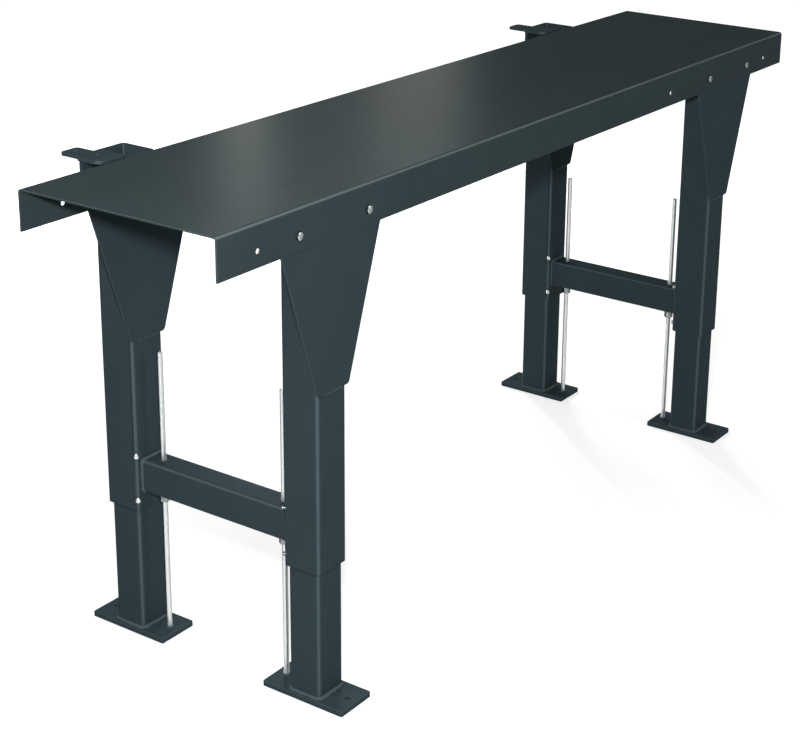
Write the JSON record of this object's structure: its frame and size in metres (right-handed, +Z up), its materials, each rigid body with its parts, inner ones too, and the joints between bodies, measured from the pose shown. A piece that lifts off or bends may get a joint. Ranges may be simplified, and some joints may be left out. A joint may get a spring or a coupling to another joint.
{
  "type": "outfeed table",
  "caption": "Long steel outfeed table: folded tray top on two H-shaped leg frames with telescopic feet set by threaded rods and lock screws.",
  "frame": {"origin": "on the floor, under the middle of the table top's length and midway between the front and rear legs (bottom centre of the bounding box)", "axes": "+X along the table to the right seen from its front, +Y to its rear, where the lugs are, +Z up"},
  "size_m": [1.9, 0.574, 0.893],
  "materials": {
    "grey_powder_coat": "satin anthracite powder coat",
    "bright_zinc": "bright zinc plate"
  },
  "bodies": {
    "frame": {"table_top": "grey_powder_coat", "outer_leg_front_left": "grey_powder_coat", "outer_leg_rear_left": "grey_powder_coat", "outer_leg_front_right": "grey_powder_coat", "outer_leg_rear_right": "grey_powder_coat", "head_plate_front_left": "grey_powder_coat", "head_plate_rear_left": "grey_powder_coat", "head_plate_front_right": "grey_powder_coat", "head_plate_rear_right": "grey_powder_coat", "lug_plate_rear_left": "grey_powder_coat", "lug_plate_rear_right": "grey_powder_coat", "lug_gusset_rear_left": "grey_powder_coat", "lug_gusset_rear_right": "grey_powder_coat", "crossbar_left": "grey_powder_coat", "rod_washers_left": "bright_zinc", "head_bolts_left": "bright_zinc", "head_washers_left": "bright_zinc", "head_nuts_left": "bright_zinc", "crossbar_right": "grey_powder_coat", "rod_washers_right": "bright_zinc", "head_bolts_right": "bright_zinc", "head_washers_right": "bright_zinc", "head_nuts_right": "bright_zinc"},
    "foot_front_left": {"inner_leg_front_left": "grey_powder_coat", "foot_plate_front_left": "grey_powder_coat", "threaded_rod_front_left": "bright_zinc"},
    "nuts_front_left": {"adjusting_nut_front_left": "bright_zinc", "lock_nut_front_left": "bright_zinc"},
    "foot_rear_left": {"inner_leg_rear_left": "grey_powder_coat", "foot_plate_rear_left": "grey_powder_coat", "threaded_rod_rear_left": "bright_zinc"},
    "nuts_rear_left": {"adjusting_nut_rear_left": "bright_zinc", "lock_nut_rear_left": "bright_zinc"},
    "foot_front_right": {"inner_leg_front_right": "grey_powder_coat", "foot_plate_front_right": "grey_powder_coat", "threaded_rod_front_right": "bright_zinc"},
    "nuts_front_right": {"adjusting_nut_front_right": "bright_zinc", "lock_nut_front_right": "bright_zinc"},
    "foot_rear_right": {"inner_leg_rear_right": "grey_powder_coat", "foot_plate_rear_right": "grey_powder_coat", "threaded_rod_rear_right": "bright_zinc"},
    "nuts_rear_right": {"adjusting_nut_rear_right": "bright_zinc", "lock_nut_rear_right": "bright_zinc"},
    "lower_lock_screw_front_left": {"lower_lock_screw_front_left": "bright_zinc"},
    "upper_lock_screw_front_left": {"upper_lock_screw_front_left": "bright_zinc"},
    "lower_lock_screw_rear_left": {"lower_lock_screw_rear_left": "bright_zinc"},
    "upper_lock_screw_rear_left": {"upper_lock_screw_rear_left": "bright_zinc"},
    "lower_lock_screw_front_right": {"lower_lock_screw_front_right": "bright_zinc"},
    "upper_lock_screw_front_right": {"upper_lock_screw_front_right": "bright_zinc"},
    "lower_lock_screw_rear_right": {"lower_lock_screw_rear_right": "bright_zinc"},
    "upper_lock_screw_rear_right": {"upper_lock_screw_rear_right": "bright_zinc"}
  },
  "joints": [
    {"name": "foot_slide_front_left", "type": "slide", "parent": "frame", "child": "foot_front_left", "axis": [0, 0, 1], "range_m": [-0.18, 0.22]},
    {"name": "nut_turn_front_left", "type": "hinge", "parent": "frame", "child": "nuts_front_left", "pos_m": [-0.68, -0.136, 0.269], "axis": [0, 0, 1], "continuous": true},
    {"name": "foot_slide_rear_left", "type": "slide", "parent": "frame", "child": "foot_rear_left", "axis": [0, 0, 1], "range_m": [-0.18, 0.22]},
    {"name": "nut_turn_rear_left", "type": "hinge", "parent": "frame", "child": "nuts_rear_left", "pos_m": [-0.68, 0.136, 0.269], "axis": [0, 0, 1], "continuous": true},
    {"name": "foot_slide_front_right", "type": "slide", "parent": "frame", "child": "foot_front_right", "axis": [0, 0, 1], "range_m": [-0.18, 0.22]},
    {"name": "nut_turn_front_right", "type": "hinge", "parent": "frame", "child": "nuts_front_right", "pos_m": [0.68, -0.136, 0.269], "axis": [0, 0, 1], "continuous": true},
    {"name": "foot_slide_rear_right", "type": "slide", "parent": "frame", "child": "foot_rear_right", "axis": [0, 0, 1], "range_m": [-0.18, 0.22]},
    {"name": "nut_turn_rear_right", "type": "hinge", "parent": "frame", "child": "nuts_rear_right", "pos_m": [0.68, 0.136, 0.269], "axis": [0, 0, 1], "continuous": true},
    {"name": "lower_lock_turn_front_left", "type": "hinge", "parent": "frame", "child": "lower_lock_screw_front_left", "pos_m": [-0.71516, -0.16634, 0.265], "axis": [-0.7071, 0.7071, 0], "range_deg": [0, 720]},
    {"name": "upper_lock_turn_front_left", "type": "hinge", "parent": "frame", "child": "upper_lock_screw_front_left", "pos_m": [-0.71516, -0.16634, 0.349], "axis": [-0.7071, 0.7071, 0], "range_deg": [0, 720]},
    {"name": "lower_lock_turn_rear_left", "type": "hinge", "parent": "frame", "child": "lower_lock_screw_rear_left", "pos_m": [-0.71516, 0.16634, 0.265], "axis": [-0.7071, -0.7071, 0], "range_deg": [0, 720]},
    {"name": "upper_lock_turn_rear_left", "type": "hinge", "parent": "frame", "child": "upper_lock_screw_rear_left", "pos_m": [-0.71516, 0.16634, 0.349], "axis": [-0.7071, -0.7071, 0], "range_deg": [0, 720]},
    {"name": "lower_lock_turn_front_right", "type": "hinge", "parent": "frame", "child": "lower_lock_screw_front_right", "pos_m": [0.64484, -0.16634, 0.265], "axis": [-0.7071, 0.7071, 0], "range_deg": [0, 720]},
    {"name": "upper_lock_turn_front_right", "type": "hinge", "parent": "frame", "child": "upper_lock_screw_front_right", "pos_m": [0.64484, -0.16634, 0.349], "axis": [-0.7071, 0.7071, 0], "range_deg": [0, 720]},
    {"name": "lower_lock_turn_rear_right", "type": "hinge", "parent": "frame", "child": "lower_lock_screw_rear_right", "pos_m": [0.64484, 0.16634, 0.265], "axis": [-0.7071, -0.7071, 0], "range_deg": [0, 720]},
    {"name": "upper_lock_turn_rear_right", "type": "hinge", "parent": "frame", "child": "upper_lock_screw_rear_right", "pos_m": [0.64484, 0.16634, 0.349], "axis": [-0.7071, -0.7071, 0], "range_deg": [0, 720]}
  ],
  "couplings": [
    {"joint": "nut_turn_front_left", "follows": "foot_slide_front_left", "rad_per_m": -4188.8},
    {"joint": "nut_turn_rear_left", "follows": "foot_slide_rear_left", "rad_per_m": -4188.8},
    {"joint": "nut_turn_front_right", "follows": "foot_slide_front_right", "rad_per_m": -4188.8},
    {"joint": "nut_turn_rear_right", "follows": "foot_slide_rear_right", "rad_per_m": -4188.8}
  ]
}
